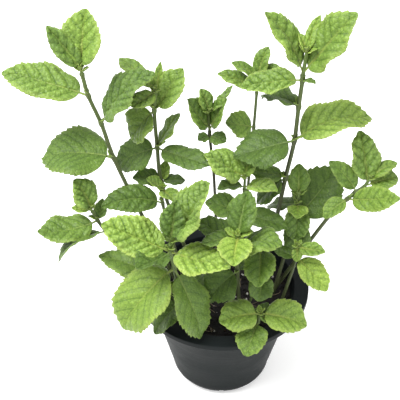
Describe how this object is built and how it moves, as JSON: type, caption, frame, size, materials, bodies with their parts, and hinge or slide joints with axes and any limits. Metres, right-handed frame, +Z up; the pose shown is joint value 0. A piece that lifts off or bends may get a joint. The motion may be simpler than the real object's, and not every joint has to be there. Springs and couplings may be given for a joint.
{
  "type": "potted mint plant",
  "caption": "Bushy potted herb: square stems with opposite, toothed, quilted oval leaves and young growing tips, rooted in soil in a round tapered pot with a flat lip.",
  "frame": {"origin": "middle of the pot's flat base, on the ground", "axes": "+Z up the plant, +X to its right and -Y to its front as the camera sees it"},
  "size_m": [0.2672, 0.1422, 0.3067],
  "materials": {
    "pot_plastic": "charcoal, fine moulded grain, satin",
    "soil": "dark damp peat crumbs with white perlite, matte",
    "stem": "green to purple-brown, four-sided, satin",
    "leaf": "quilted between sunken veins, toothed edge, paler beneath, matte",
    "young_leaf": "bright yellow-green, finely quilted, matte"
  },
  "bodies": {
    "root": {"pot": "pot_plastic", "potting_soil": "soil", "stem_left_tall": "stem", "leaves_left_tall_1": "leaf", "leaves_left_tall_2": "leaf", "leaves_left_tall_3": "leaf", "tip_left_tall": "young_leaf", "stem_left_back": "stem", "leaves_left_back_1": "leaf", "leaves_left_back_2": "leaf", "leaves_left_back_3": "leaf", "tip_left_back": "young_leaf", "stem_centre_thin": "stem", "leaves_centre_thin_1": "leaf", "tip_centre_thin": "young_leaf", "stem_back_thin": "stem", "leaves_back_thin_1": "leaf", "tip_back_thin": "young_leaf", "stem_right_tall": "stem", "leaves_right_tall_1": "leaf", "leaves_right_tall_2": "leaf", "leaves_right_tall_3": "leaf", "leaves_right_tall_4": "leaf", "tip_right_tall": "young_leaf", "stem_right_wide": "stem", "leaves_right_wide_1": "leaf", "leaves_right_wide_2": "leaf", "tip_right_wide": "young_leaf", "stem_right_inner": "stem", "leaves_right_inner_1": "leaf", "leaves_right_inner_2": "leaf", "tip_right_inner": "young_leaf", "stem_right_low": "stem", "leaves_right_low_1": "leaf", "tip_right_low": "young_leaf", "stem_front_right": "stem", "leaves_front_right_1": "leaf", "tip_front_right": "young_leaf", "stem_front_left": "stem", "leaves_front_left_1": "leaf", "leaves_front_left_2": "leaf", "leaves_front_left_3": "leaf", "leaves_front_left_4": "leaf", "tip_front_left": "young_leaf", "stem_left_low": "stem", "leaves_left_low_1": "leaf", "leaves_left_low_2": "leaf", "tip_left_low": "young_leaf", "stem_centre_top": "stem", "leaves_centre_top_1": "leaf", "tip_centre_top": "young_leaf", "stem_front_centre": "stem", "leaves_front_centre_1": "leaf", "leaves_front_centre_2": "leaf", "tip_front_centre": "young_leaf", "stem_left_inner": "stem", "leaves_left_inner_1": "leaf", "tip_left_inner": "young_leaf", "stem_front_low": "stem", "tip_front_low": "young_leaf"}
  },
  "joints": []
}
